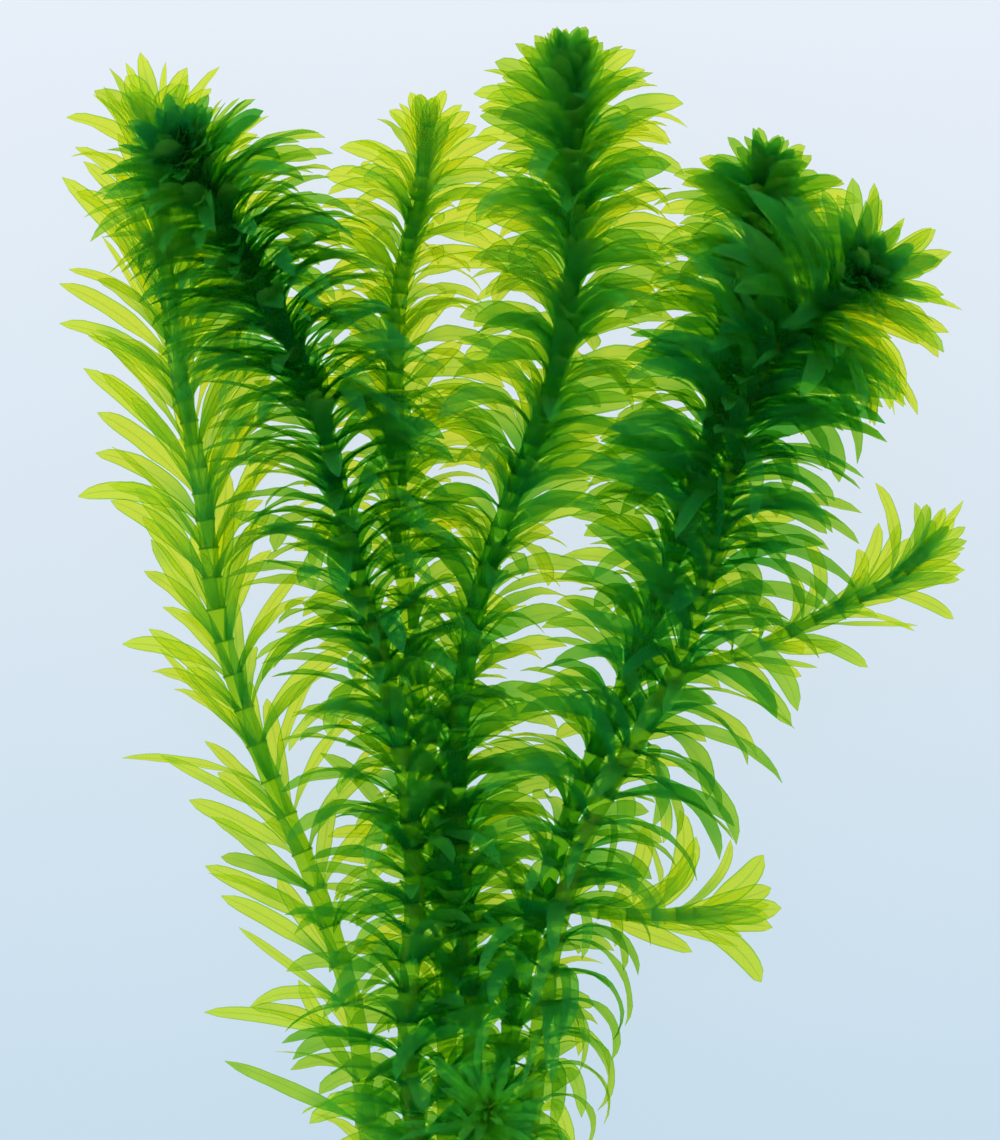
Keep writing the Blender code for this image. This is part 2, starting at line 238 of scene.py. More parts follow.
@dataclass
class Stem:
    """One leafy stem: its centre line from the foot to the tip, and how it is leafed.

    gaps are the distance between whorls at the tip, the most it is, and the length over
    which it opens.
    upright is the length below the tip over which leaves pass from the bud's lean to the body's.
    aged is the length above the foot over which they pass from the old lean to the body's.
    droop is how much the leaves follow the slope of the bunch, as a share of the usual.
    tone runs from a deep green at 0 to a clear yellow green at 1, at the foot and at the tip.
    bud_tone is added to it in the bud, and fan_tone in the whorls just behind the bud, more so
    for leaves that point along fan_way.
    """
    name: str
    route: list
    leaf: float = LEAF_LENGTH
    width: float = LEAF_WIDTH
    radius: float = STEM_RADIUS
    head: float = HEAD_LENGTH
    bare: float = 12.0
    foot_leaf: float = 0.78
    foot_width: float = 1.15
    whorl: tuple = LEAVES_IN_WHORL
    bud_leaf: float = BUD_LEAF
    bud_width: float = BUD_WIDTH
    bud_tone: float = -0.25
    fan_tone: float = 0.0
    fan_way: Vector = UP
    crowding: float = BUD_CROWDING
    upright: float = 12.0
    aged: float = OLD_LENGTH
    bud_lean: tuple = BUD_LEAN
    lean: tuple = BODY_LEAN
    old_lean: tuple = OLD_LEAN
    droop: float = 1.0
    gaps: tuple = (1.4, 6.6, 150.0)
    face_turn: tuple = (1.0, 0.6)
    tone: tuple = (0.4, 0.5)
    stem_tone: float = 0.5
    up: Vector = UP
    turn: float = 0.0


STEMS = [
    Stem("left_front_stem", [
        (-12.6, -105.4, 20.0), (-13.0, -101.5, 21.0), (-14.6, -94.5, 24.0), (-15.9, -83.7, 27.0),
        (-17.2, -71.1, 29.0), (-16.8, -56.7, 30.0), (-15.9, -42.8, 31.0), (-16.6, -29.7, 32.0),
        (-17.9, -18.9, 32.5), (-19.9, -9.0, 33.0), (-22.2, 0.9, 33.0), (-25.5, 11.7, 33.0),
        (-28.0, 22.5, 33.0), (-30.1, 33.3, 33.5), (-32.7, 43.2, 34.0), (-36.1, 52.2, 34.5),
        (-40.6, 61.2, 35.0), (-45.6, 70.2, 35.5), (-50.7, 79.2, 36.5), (-55.3, 87.0, 40.0),
        (-57.3, 90.5, 46.0)],
         leaf=22.0, head=17.0, bud_leaf=0.22, bud_width=0.7, whorl=(6, 7, 7, 8),
         bud_lean=(10, 36), lean=(50, 116), old_lean=(44, 108), upright=20.0,
         gaps=(0.9, 5.6, 180.0), face_turn=(1.1, 0.15),
         bud_tone=-0.5, fan_tone=0.2, tone=(0.38, 0.3), stem_tone=0.6, turn=10),
    Stem("right_front_stem", [
        (-4.4, -105.4, 19.6), (-3.8, -101.8, 20.6), (1.0, -95.6, 24.0), (4.4, -85.5, 27.0),
        (6.0, -72.9, 29.0), (7.5, -59.4, 30.5), (10.5, -45.0, 32.0), (14.5, -32.4, 33.0),
        (19.5, -22.5, 33.5), (25.6, -12.1, 34.0), (30.9, -2.7, 34.0), (34.5, 7.2, 34.0),
        (37.2, 17.1, 34.0), (39.5, 27.9, 34.5), (41.7, 38.7, 35.0), (44.7, 47.7, 35.5),
        (50.0, 55.6, 36.0), (56.4, 61.6, 37.0), (61.8, 66.2, 40.0), (64.4, 68.4, 45.0)],
         leaf=24.0, width=3.7, head=14.0, bud_leaf=0.26, bud_width=0.75, foot_leaf=0.85,
         foot_width=0.66, whorl=(5, 6, 7), bud_lean=(14, 40), lean=(54, 110),
         old_lean=(54, 225), upright=20.0, aged=130.0, droop=-0.15, gaps=(0.8, 6.0, 150.0),
         face_turn=(0.1, 0.6), bud_tone=-0.05, fan_tone=0.75, fan_way=Vector((0.9, 0.45, 0)),
         tone=(0.45, 0.2), stem_tone=0.8, turn=24),
    Stem("centre_stem", [
        (-8.5, -105.4, 21.3), (-8.3, -101.8, 21.6), (-6.4, -91.5, 23.4), (-5.3, -76.5, 25.0),
        (-6.0, -58.5, 26.0), (-7.5, -40.5, 26.5), (-8.5, -24.3, 26.5), (-7.5, -8.1, 26.0),
        (-5.3, 6.3, 25.5), (-2.4, 17.1, 25.0), (0.3, 25.2, 25.0), (3.3, 33.3, 25.0),
        (6.6, 42.3, 25.0), (9.4, 51.3, 25.0), (11.4, 61.2, 25.0), (12.7, 72.9, 25.0),
        (12.9, 83.7, 25.0), (12.3, 94.5, 25.5), (11.8, 105.3, 27.0)],
         width=4.3, bare=34.0, bud_leaf=0.42, bud_lean=(8, 34), old_lean=(42, 102),
         upright=18.0, gaps=(1.3, 5.5, 160.0), face_turn=(1.1, 0.6), tone=(0.3, 0.65),
         stem_tone=0.35, turn=5),
    Stem("far_left_stem", [
        (-13.4, -105.4, 14.5), (-14.2, -102.2, 14.5), (-18.9, -97.6, 14.6), (-22.9, -92.0, 15.0),
        (-24.9, -84.6, 15.5), (-26.2, -69.3, 15.5), (-28.5, -59.4, 15.0), (-32.7, -45.9, 14.5),
        (-38.4, -31.5, 14.0), (-43.5, -19.8, 13.5), (-48.3, -6.3, 13.5), (-52.1, 8.1, 13.5),
        (-53.7, 20.7, 13.5), (-55.7, 35.1, 14.0), (-58.2, 47.7, 14.0), (-60.2, 58.5, 14.0),
        (-61.5, 72.9, 15.0), (-62.2, 85.5, 16.0), (-62.5, 94.9, 18.0)],
         leaf=24.0, width=3.4, head=12.0, bud_leaf=0.46, bud_width=1.3, foot_leaf=1.08,
         foot_width=0.85, whorl=(4, 5, 5), crowding=1.0, bud_lean=(12, 60), lean=(28, 60),
         old_lean=(68, 98), upright=34.0, aged=120.0, gaps=(2.4, 7.2, 130.0),
         bud_tone=0.0, tone=(0.8, 0.85), stem_tone=0.95, turn=18),
    Stem("left_back_stem", [
        (-9.6, -105.4, 11.5), (-9.8, -101.6, 11.7), (-10.3, -89.1, 12.2), (-10.3, -72.9, 13.0),
        (-10.7, -54.9, 13.5), (-11.8, -36.9, 13.5), (-13.6, -18.9, 13.5), (-15.8, -2.7, 13.5),
        (-17.7, 11.7, 13.5), (-19.0, 25.2, 13.5), (-19.5, 38.7, 13.5), (-19.7, 51.3, 13.5),
        (-19.2, 62.1, 13.5), (-17.9, 72.0, 14.0), (-15.9, 81.0, 14.5), (-14.5, 89.1, 15.5),
        (-13.9, 96.3, 17.0)],
         leaf=19.0, whorl=(5, 5, 6), crowding=1.0, bud_lean=(6, 28), upright=18.0,
         gaps=(2.2, 6.0, 140.0), bud_tone=0.2, tone=(0.35, 0.8), stem_tone=1.0, turn=30),
    Stem("right_back_stem", [
        (-5.2, -105.4, 13.6), (-4.8, -101.6, 13.6), (-2.6, -94.0, 13.6), (-0.6, -81.9, 14.0),
        (1.5, -67.5, 14.0), (5.1, -51.3, 14.0), (9.4, -36.9, 13.5), (14.8, -22.5, 13.5),
        (21.0, -8.1, 13.5), (26.7, 6.3, 13.5), (31.8, 20.7, 13.5), (36.1, 35.1, 13.5),
        (39.7, 48.6, 13.5), (42.9, 61.2, 14.0), (45.4, 72.0, 14.5), (46.9, 81.0, 16.0),
        (47.4, 86.9, 18.0)],
         leaf=18.5, head=12.0, bud_leaf=0.45, bud_width=0.65, whorl=(5, 6, 7),
         bud_lean=(12, 44), gaps=(1.2, 6.0, 150.0), bud_tone=-0.3, fan_tone=0.3,
         tone=(0.4, 0.4), stem_tone=0.5, turn=42),
    Stem("right_side_shoot", [
        (34.4, -1.4, 33.0), (38.0, -1.0, 31.0), (43.1, 0.5, 29.5), (49.4, 3.2, 28.5),
        (56.4, 6.8, 27.5), (63.3, 10.1, 27.0), (69.2, 13.1, 27.0), (73.5, 16.7, 27.5),
        (75.7, 19.1, 28.0)],
         leaf=18.0, width=2.3, radius=1.2, head=8.0, bare=5.0, bud_leaf=0.4, bud_width=0.8,
         foot_leaf=0.8, whorl=(4, 5), bud_lean=(8, 30), lean=(22, 56), old_lean=(36, 90),
         upright=30.0, gaps=(2.8, 5.5, 30.0), bud_tone=-0.35, tone=(0.75, 0.85),
         stem_tone=0.9, turn=12),
    Stem("lower_side_shoot", [
        (10.1, -45.2, 14.0), (15.0, -46.6, 13.2), (21.0, -47.3, 12.6), (27.0, -47.4, 12.6),
        (35.5, -47.2, 13.2)],
         leaf=22.0, width=3.3, radius=1.2, head=4.0, bare=5.0, bud_leaf=0.7, bud_width=1.1,
         foot_leaf=0.9, whorl=(3, 4), bud_lean=(4, 30), lean=(16, 60), old_lean=(22, 52),
         gaps=(4.2, 6.0, 25.0), bud_tone=0.0, tone=(1.0, 1.0), stem_tone=1.0, turn=36),
    Stem("base_shoot", [
        (-5.9, -90.5, 25.9), (-4.6, -87.0, 29.0), (-3.4, -82.8, 34.5), (-2.6, -79.4, 40.0)],
         leaf=16.0, width=1.7, radius=0.9, head=8.0, bare=4.0, foot_leaf=0.9, foot_width=1.0,
         lean=(40, 84), gaps=(1.1, 1.9, 20.0), bud_tone=0.0, tone=(0.6, 0.8), stem_tone=0.8,
         up=Vector((0, -1, 0))),
]


def mesh_shift():
    """The move, in millimetres, from the routes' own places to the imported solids' places."""
    low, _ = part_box("base_crown")
    foot = CROWN_RINGS[0][0]
    widest = max(ring[1] for ring in CROWN_RINGS)
    lowest = CROWN_CENTRE[1] - max(ring[2] for ring in CROWN_RINGS)
    return Vector((low.x / MM - (CROWN_CENTRE[0] - widest), low.y / MM - foot, low.z / MM - lowest))


SHIFT = mesh_shift()


def smooth_curve(points):
    """Close points on a smooth curve through the route's own points."""
    knots = [Vector(point) + SHIFT for point in points]
    ends = [2 * knots[0] - knots[1]] + knots + [2 * knots[-1] - knots[-2]]
    curve = []
    for before, start, end, after in zip(ends, ends[1:], ends[2:], ends[3:]):
        for step in range(CURVE_STEPS):
            u = step / CURVE_STEPS
            curve.append(0.5 * (2 * start + (end - before) * u
                                + (2 * before - 5 * start + 4 * end - after) * u ** 2
                                + (3 * start - before - 3 * end + after) * u ** 3))
    curve.append(knots[-1])
    return curve


def curve_length(curve):
    return sum((b - a).length for a, b in zip(curve, curve[1:]))


def at_distance(curve, distance):
    """The place and the direction at a distance along a curve."""
    for a, b in zip(curve, curve[1:]):
        step = (b - a).length
        if distance <= step:
            return a.lerp(b, max(distance, 0) / step), (b - a).normalized()
        distance -= step
    return curve[-1].copy(), (curve[-1] - curve[-2]).normalized()


def ease(value):
    """A smooth step from 0 to 1."""
    value = min(max(value, 0.0), 1.0)
    return value * value * (3 - 2 * value)


def mix(a, b, share):
    return a + (b - a) * share


def whorl_places(stem, length):
    """Distances along the stem of its nodes, from the foot up: crowded in the bud."""
    places = []
    from_tip = BUD_LENGTH
    tip_gap, most, opening = stem.gaps
    while length - from_tip > stem.bare:
        places.append(length - from_tip)
        crowded = mix(stem.crowding, 1, ease(from_tip / stem.head))
        from_tip += mix(tip_gap, most, ease(from_tip / opening)) * crowded
    return places[::-1]


def stem_radius(stem, share):
    """A stem's radius at a share of its length from the foot."""
    tip_radius = min(TIP_RADIUS, stem.radius)
    return mix(stem.radius, tip_radius, share ** STEM_TAPER)


# Node trees


def join(tree, term, socket):
    """Link an output to a socket, or set the socket to a plain value."""
    if isinstance(term, bpy.types.NodeSocket):
        tree.links.new(term, socket)
    else:
        socket.default_value = term


def maths(tree, operation, *terms):
    """A maths node, for the trees and the materials alike."""
    node = tree.nodes.new("ShaderNodeMath")
    node.operation = operation
    for term, socket in zip(terms, node.inputs):
        join(tree, term, socket)
    return node.outputs[0]


def vectors(tree, operation, *terms):
    """A vector maths node: a second term that is a number goes to its scale."""
    node = tree.nodes.new("ShaderNodeVectorMath")
    node.operation = operation
    sockets = [node.inputs[0], node.inputs[3]] if operation == "SCALE" else node.inputs
    for term, socket in zip(terms, sockets):
        join(tree, term, socket)
    return node.outputs["Value" if operation in ("DOT_PRODUCT", "LENGTH") else "Vector"]


def blend_ways(tree, a, a_share, b, b_share):
    """The sum of two vectors, each scaled."""
    first = vectors(tree, "SCALE", a, a_share)
    return vectors(tree, "ADD", first, vectors(tree, "SCALE", b, b_share))


def named(tree, name, kind="FLOAT"):
    """The value that each seed or point carries under a name."""
    node = tree.nodes.new("GeometryNodeInputNamedAttribute")
    node.data_type = kind
    node.inputs["Name"].default_value = name
    return node.outputs["Attribute"]


def new_tree(name, inputs):
    """A geometry node tree with a geometry in and out, and named inputs for its sizes."""
    tree = bpy.data.node_groups.new(name, "GeometryNodeTree")
    tree.interface.new_socket("Geometry", in_out="INPUT", socket_type="NodeSocketGeometry")
    for label, kind in inputs:
        tree.interface.new_socket(label, in_out="INPUT", socket_type=kind)
    tree.interface.new_socket("Geometry", in_out="OUTPUT", socket_type="NodeSocketGeometry")
    return tree, tree.nodes.new("NodeGroupInput").outputs


def end_tree(tree, geometry, material):
    """Every tree ends in real geometry, shaded smooth, with its material."""
    real = tree.nodes.new("GeometryNodeRealizeInstances")
    smooth = tree.nodes.new("GeometryNodeSetShadeSmooth")
    finish = tree.nodes.new("GeometryNodeSetMaterial")
    join(tree, geometry, real.inputs["Geometry"])
    join(tree, real.outputs["Geometry"], smooth.inputs["Geometry"])
    join(tree, smooth.outputs["Geometry"], finish.inputs["Geometry"])
    join(tree, material, finish.inputs["Material"])
    join(tree, finish.outputs["Geometry"], tree.nodes.new("NodeGroupOutput").inputs[0])


def leaf_blank(tree, segments):
    """A closed strip with four corners to a section, which keeps its own place as its form."""
    blank = tree.nodes.new("GeometryNodeMeshCylinder")
    blank.inputs["Vertices"].default_value = 4
    blank.inputs["Radius"].default_value = 1.0
    blank.inputs["Depth"].default_value = 1.0
    join(tree, segments, blank.inputs["Side Segments"])
    position = tree.nodes.new("GeometryNodeInputPosition").outputs[0]
    store = tree.nodes.new("GeometryNodeStoreNamedAttribute")
    store.data_type = "FLOAT_VECTOR"
    store.inputs["Name"].default_value = "form"
    join(tree, blank.outputs["Mesh"], store.inputs["Geometry"])
    join(tree, vectors(tree, "ADD", position, (0.0, 0.0, 0.5)), store.inputs["Value"])
    return store.outputs["Geometry"]


def arch(tree, u):
    """The spine of an arching leaf and its direction, from its seat, lean and length."""
    out = named(tree, "out", "FLOAT_VECTOR")
    along = named(tree, "along", "FLOAT_VECTOR")
    start = named(tree, "start")
    swing = named(tree, "swing")
    angle = maths(tree, "MULTIPLY_ADD", swing, u, start)
    scale = maths(tree, "DIVIDE", named(tree, "length"), swing)
    reach = maths(tree, "SUBTRACT", maths(tree, "COSINE", start), maths(tree, "COSINE", angle))
    rise = maths(tree, "SUBTRACT", maths(tree, "SINE", angle), maths(tree, "SINE", start))
    arm = blend_ways(tree, out, maths(tree, "MULTIPLY", reach, scale),
                     along, maths(tree, "MULTIPLY", rise, scale))
    spine = vectors(tree, "ADD", named(tree, "seat", "FLOAT_VECTOR"), arm)
    direction = blend_ways(tree, out, maths(tree, "SINE", angle),
                           along, maths(tree, "COSINE", angle))
    return spine, direction, vectors(tree, "CROSS_PRODUCT", along, out)


def faced_up(tree, direction, side, u):
    """The way across a blade: round the stem at the seat, turning to its own way by its middle."""
    turned = maths(tree, "SMOOTH_MIN", maths(tree, "MULTIPLY", u, FACE_RATE), 1.0, FACE_SOFTNESS)
    mixed = blend_ways(tree, side, maths(tree, "SUBTRACT", 1.0, turned),
                       named(tree, "across", "FLOAT_VECTOR"), turned)
    ahead = vectors(tree, "SCALE", direction, vectors(tree, "DOT_PRODUCT", mixed, direction))
    return vectors(tree, "NORMALIZE", vectors(tree, "SUBTRACT", mixed, ahead))


def rolled(tree, across, direction, u):
    """The ways across and above a blade, rolled a little more towards its point."""
    upper = vectors(tree, "CROSS_PRODUCT", direction, across)
    roll = maths(tree, "MULTIPLY", named(tree, "roll"), u)
    across = blend_ways(tree, across, maths(tree, "COSINE", roll), upper, maths(tree, "SINE", roll))
    return across, vectors(tree, "CROSS_PRODUCT", direction, across)


def outline(tree, u):
    """Half the blade's width, as a share of the most it is."""
    curve = tree.nodes.new("ShaderNodeFloatCurve")
    points = curve.mapping.curves[0].points
    while len(points) < len(BLADE_OUTLINE):
        points.new(0.5, 0.5)
    for point, place in zip(points, BLADE_OUTLINE):
        point.location = place
    curve.mapping.update()
    join(tree, u, curve.inputs["Value"])
    return curve.outputs[0]


def bounded_height(tree, place, h, inputs):
    """Keep a blade above the surface and under the top of the bunch, thick side up."""
    parts = tree.nodes.new("ShaderNodeSeparateXYZ")
    join(tree, place, parts.inputs[0])
    lift = maths(tree, "MULTIPLY_ADD", h, inputs["Thickness"], inputs["Floor"])
    height = maths(tree, "MAXIMUM", parts.outputs[2], maths(tree, "ADD", lift, inputs["Thickness"]))
    top = maths(tree, "MULTIPLY_ADD", h, inputs["Thickness"], inputs["Ceiling"])
    height = maths(tree, "MINIMUM", height, top)
    whole = tree.nodes.new("ShaderNodeCombineXYZ")
    join(tree, parts.outputs[0], whole.inputs[0])
    join(tree, parts.outputs[1], whole.inputs[1])
    join(tree, height, whole.inputs[2])
    return whole.outputs[0]


def make_leaf_tree():
    """Grows a thin, cupped and arching leaf from every seed point."""
    tree, inputs = new_tree("whorled_leaves", [
        ("Segments", "NodeSocketInt"), ("Thickness", "NodeSocketFloat"), ("Cup", "NodeSocketFloat"),
        ("Wave", "NodeSocketFloat"), ("Floor", "NodeSocketFloat"), ("Ceiling", "NodeSocketFloat"),
        ("Material", "NodeSocketMaterial")])
    place = tree.nodes.new("GeometryNodeInstanceOnPoints")
    join(tree, inputs["Geometry"], place.inputs["Points"])
    join(tree, leaf_blank(tree, inputs["Segments"]), place.inputs["Instance"])
    real = tree.nodes.new("GeometryNodeRealizeInstances")
    join(tree, place.outputs[0], real.inputs["Geometry"])

    form = tree.nodes.new("ShaderNodeSeparateXYZ")
    join(tree, named(tree, "form", "FLOAT_VECTOR"), form.inputs[0])
    v, h, u = form.outputs
    spine, direction, side = arch(tree, u)
    across, upper = rolled(tree, faced_up(tree, direction, side, u), direction, u)

    width = maths(tree, "MULTIPLY", named(tree, "half_width"), outline(tree, u))
    bend = maths(tree, "MULTIPLY", named(tree, "bend"), named(tree, "length"))
    bend = maths(tree, "MULTIPLY", bend, maths(tree, "MULTIPLY", u, u))
    sideways = maths(tree, "MULTIPLY_ADD", v, width, bend)
    ripple = maths(tree, "MULTIPLY_ADD", v, RIPPLE_SKEW, named(tree, "phase"))
    ripple = maths(tree, "SINE", maths(tree, "MULTIPLY_ADD", u, RIPPLE_RATE, ripple))
    edge = maths(tree, "MULTIPLY", maths(tree, "ABSOLUTE", v),
                 maths(tree, "MULTIPLY_ADD", ripple, inputs["Wave"], inputs["Cup"]))
    thin = maths(tree, "MULTIPLY", maths(tree, "MULTIPLY", h, inputs["Thickness"]),
                 maths(tree, "MULTIPLY_ADD", u, -BLADE_THINNING, 0.5))
    above = maths(tree, "MULTIPLY_ADD", edge, maths(tree, "MULTIPLY", width, 2.0), thin)

    whole = vectors(tree, "ADD", spine, blend_ways(tree, across, sideways, upper, above))
    move = tree.nodes.new("GeometryNodeSetPosition")
    join(tree, real.outputs["Geometry"], move.inputs["Geometry"])
    join(tree, bounded_height(tree, whole, h, inputs), move.inputs["Position"])
    end_tree(tree, move.outputs["Geometry"], inputs["Material"])
    return tree


def make_stem_tree():
    """Sweeps a round section along a stem's line, as thick as the girth that each point carries."""
    tree, inputs = new_tree("fleshy_stem", [("Sides", "NodeSocketInt"),
                                            ("Material", "NodeSocketMaterial")])
    line = tree.nodes.new("GeometryNodeMeshToCurve")
    join(tree, inputs["Geometry"], line.inputs["Mesh"])
    section = tree.nodes.new("GeometryNodeCurvePrimitiveCircle")
    section.inputs["Radius"].default_value = 1.0
    join(tree, inputs["Sides"], section.inputs["Resolution"])
    sweep = tree.nodes.new("GeometryNodeCurveToMesh")
    join(tree, line.outputs["Curve"], sweep.inputs["Curve"])
    join(tree, section.outputs["Curve"], sweep.inputs["Profile Curve"])
    join(tree, named(tree, "girth"), sweep.inputs["Scale"])
    sweep.inputs["Fill Caps"].default_value = True
    end_tree(tree, sweep.outputs["Mesh"], inputs["Material"])
    return tree


# Values for growing, taken off the finished mesh unless its material reads them
SEED_VALUES = ("seat", "out", "along", "across", "start", "swing", "length", "half_width",
               "roll", "bend", "phase", "tone", "form", "girth", "collar")


def grown(name, seeds, tree, values, keep):
    """Run a tree on its seeds and return its result as a plain mesh object."""
    start = bpy.data.objects.new(name + "_seeds", seeds)
    bpy.context.scene.collection.objects.link(start)
    modifier = start.modifiers.new("grow", "NODES")
    modifier.node_group = tree
    for item in tree.interface.items_tree:
        if item.name in values:
            modifier[item.identifier] = values[item.name]
    depsgraph = bpy.context.evaluated_depsgraph_get()
    mesh = bpy.data.meshes.new_from_object(start.evaluated_get(depsgraph),
                                           preserve_all_data_layers=True, depsgraph=depsgraph)
    mesh.name = name
    bpy.data.objects.remove(start)
    bpy.data.meshes.remove(seeds)
    for label in SEED_VALUES:
        if label not in keep and label in mesh.attributes:
            mesh.attributes.remove(mesh.attributes[label])
    piece = bpy.data.objects.new(name, mesh)
    bpy.context.scene.collection.objects.link(piece)
    return piece


def seed_mesh(name, places, edges, attributes):
    """Points, with the values that each carries."""
    mesh = bpy.data.meshes.new(name)
    mesh.from_pydata([place * MM for place in places], edges, [])
    for label, (kind, values) in attributes.items():
        layer = mesh.attributes.new(label, kind, "POINT")
        if kind == "FLOAT":
            layer.data.foreach_set("value", values)
        else:
            layer.data.foreach_set("vector", [part for value in values for part in value])
    return mesh


# Leaves


@dataclass
class Leaf:
    """One leaf's seat on its stem, in millimetres and radians, and its own shape."""
    seat: Vector
    out: Vector
    along: Vector
    lean: tuple
    length: float
    half_width: float
    face_turn: float
    roll: float
    bend: float
    tone: float
    phase: float

    def tip(self):
        start, end = self.lean
        scale = self.length / (end - start)
        return (self.seat + self.out * (math.cos(start) - math.cos(end)) * scale
                + self.along * (math.sin(end) - math.sin(start)) * scale)

    def across(self):
        """The way across the blade's middle: round the stem, but turned to face up more."""
        middle = sum(self.lean) / 2
        direction = math.sin(middle) * self.out + math.cos(middle) * self.along
        side = self.along.cross(self.out)
        flat = UP.cross(direction)
        if flat.dot(side) < 0:
            flat = -flat
        mixed = side.lerp(flat, self.face_turn * flat.length)
        return (mixed - mixed.dot(direction) * direction).normalized()


def leaf_lean(stem, out, distance, from_tip, rng):
    """Leaves stand up round the bud, arch over further down and hook over near the foot.

    Those that point towards the heads droop more, and those that point to the foot less.
    """
    young = 1 - ease(from_tip / stem.upright)
    old = 1 - ease(distance / stem.aged)
    spread = rng.gauss(0, LEAN_SPREAD / 2)
    lean = []
    for end in (0, 1):
        angle = mix(stem.lean[end], stem.old_lean[end], old)
        angle += stem.droop * DROOP[end] * out.dot(HEAD_WAY)
        angle = mix(angle, stem.bud_lean[end], young)
        lean.append(math.radians(angle + (1 + end) * spread))
    return lean[0], max(lean[1], lean[0] + LEAST_SWING)


def inside_box(leaf):
    """Whether a leaf's point is no further out than the solids are."""
    tip = leaf.tip()
    low, high = (Vector(corner) / MM for corner in solid_box)
    for axis in (0, 1):
        if not low[axis] - BOX_SLACK < tip[axis] < high[axis] + BOX_SLACK:
            return False
    return tip.z < high.z + BOX_SLACK


def make_leaf(stem, place, along, angle, distance, from_tip, length, rng):
    """A leaf of a whorl, at an angle round the stem, shortened until it stays in the box."""
    over = (stem.up - stem.up.dot(along) * along).normalized()
    side = along.cross(over)
    out = math.cos(angle) * over + math.sin(angle) * side
    young = ease(from_tip / stem.head)
    old = 1 - ease(distance / stem.aged)
    size = mix(stem.bud_leaf, 1, young) * mix(1, stem.foot_leaf, old)
    size *= 1 + rng.uniform(-LENGTH_SPREAD, LENGTH_SPREAD)
    width = stem.width * mix(stem.bud_width, 1, young) * mix(1, stem.foot_width, old)
    width *= 1 + rng.uniform(-WIDTH_SPREAD, WIDTH_SPREAD)
    if rng.random() < NARROW_SHARE:
        width *= rng.uniform(*NARROW_WIDTH)
    face_turn = mix(stem.face_turn[1], stem.face_turn[0], old)
    face_turn += rng.uniform(-FACE_SPREAD, FACE_SPREAD)
    share = distance / length
    fan = 1 - ease((from_tip - stem.head) / FAN_LENGTH)
    fan *= ease(FAN_REACH + out.dot(stem.fan_way))
    leaf = Leaf(
        seat=place + out * stem_radius(stem, share) * SEAT_DEPTH, out=out, along=along,
        lean=leaf_lean(stem, out, distance, from_tip, rng), length=stem.leaf * size,
        half_width=width / 2, face_turn=min(max(face_turn, 0), 1),
        roll=math.radians(rng.gauss(0, ROLL_SPREAD / 2)),
        bend=rng.uniform(-BEND_SPREAD, BEND_SPREAD),
        tone=(mix(*stem.tone, ease(share)) + mix(stem.bud_tone, stem.fan_tone * fan, young)
              + rng.gauss(0, TONE_SPREAD)),
        phase=rng.uniform(0, math.tau))
    for _ in range(SHRINK_TRIES):
        if inside_box(leaf):
            break
        leaf.length *= SHRINK
    return leaf


def leaves_of(stem, curve, length):
    """Whorls of leaves all the way up a stem, each turned half a step from the last."""
    rng = random.Random(stem.name)
    leaves = []
    turn = math.radians(stem.turn)
    for distance in whorl_places(stem, length):
        place, along = at_distance(curve, distance)
        count = rng.choice(stem.whorl)
        turn += math.pi / count
        for index in range(count):
            angle = turn + math.tau * index / count + math.radians(rng.gauss(0, TURN_SPREAD / 2))
            leaves.append(make_leaf(stem, place, along, angle, distance, length - distance,
                                    length, rng))
    return leaves


def grow_leaves(stem, curve, length, tree, material):
    """All the leaves of a stem as one piece."""
    leaves = leaves_of(stem, curve, length)
    seeds = seed_mesh(stem.name + "_leaf_seeds", [leaf.seat for leaf in leaves], [], {
        "seat": ("FLOAT_VECTOR", [leaf.seat * MM for leaf in leaves]),
        "out": ("FLOAT_VECTOR", [leaf.out for leaf in leaves]),
        "along": ("FLOAT_VECTOR", [leaf.along for leaf in leaves]),
        "across": ("FLOAT_VECTOR", [leaf.across() for leaf in leaves]),
        "start": ("FLOAT", [leaf.lean[0] for leaf in leaves]),
        "swing": ("FLOAT", [leaf.lean[1] - leaf.lean[0] for leaf in leaves]),
        "length": ("FLOAT", [leaf.length * MM for leaf in leaves]),
        "half_width": ("FLOAT", [leaf.half_width * MM for leaf in leaves]),
        "roll": ("FLOAT", [leaf.roll for leaf in leaves]),
        "bend": ("FLOAT", [leaf.bend for leaf in leaves]),
        "phase": ("FLOAT", [leaf.phase for leaf in leaves]),
        "tone": ("FLOAT", [leaf.tone for leaf in leaves]),
    })
    piece = grown(stem.name + "_leaves", seeds, tree, {
        "Segments": LEAF_SEGMENTS, "Thickness": LEAF_THICKNESS * MM, "Cup": CUP, "Wave": WAVE,
        "Floor": 0.0, "Ceiling": solid_box[1].z, "Material": material},
        keep=("form", "tone"))
    piece.data.set_sharp_from_angle(angle=math.radians(SHARP_ANGLE))
    return piece


# Stems


def stem_line(stem, curve, length):
    """Points along a stem's middle, with its girth, and how near each is to a collar."""
    nodes = whorl_places(stem, length)
    stations = {0.0: 0.0, length: 0.0}
    for before, node in zip([0.0] + nodes, nodes):
        gap = node - before
        stations[node] = 1.0
        for share, most, collar in COLLAR_RISE:
            stations[node - min(share * gap, most)] = collar
        share, most, collar = COLLAR_FALL
        stations[before + min(share * gap, most)] = collar
        if gap > LONG_GAP:
            stations[before + gap / 2] = 0.0
    places = []
    girths = []
    collars = []
    for distance in sorted(stations):
        collar = stations[distance]
        place, _ = at_distance(curve, distance)
        radius = stem_radius(stem, distance / length)
        if distance == length:
            radius *= END_GIRTH
        places.append(place)
        girths.append(radius * mix(WAIST, COLLAR_SWELL, collar) * MM)
        collars.append(collar)
    return places, girths, collars


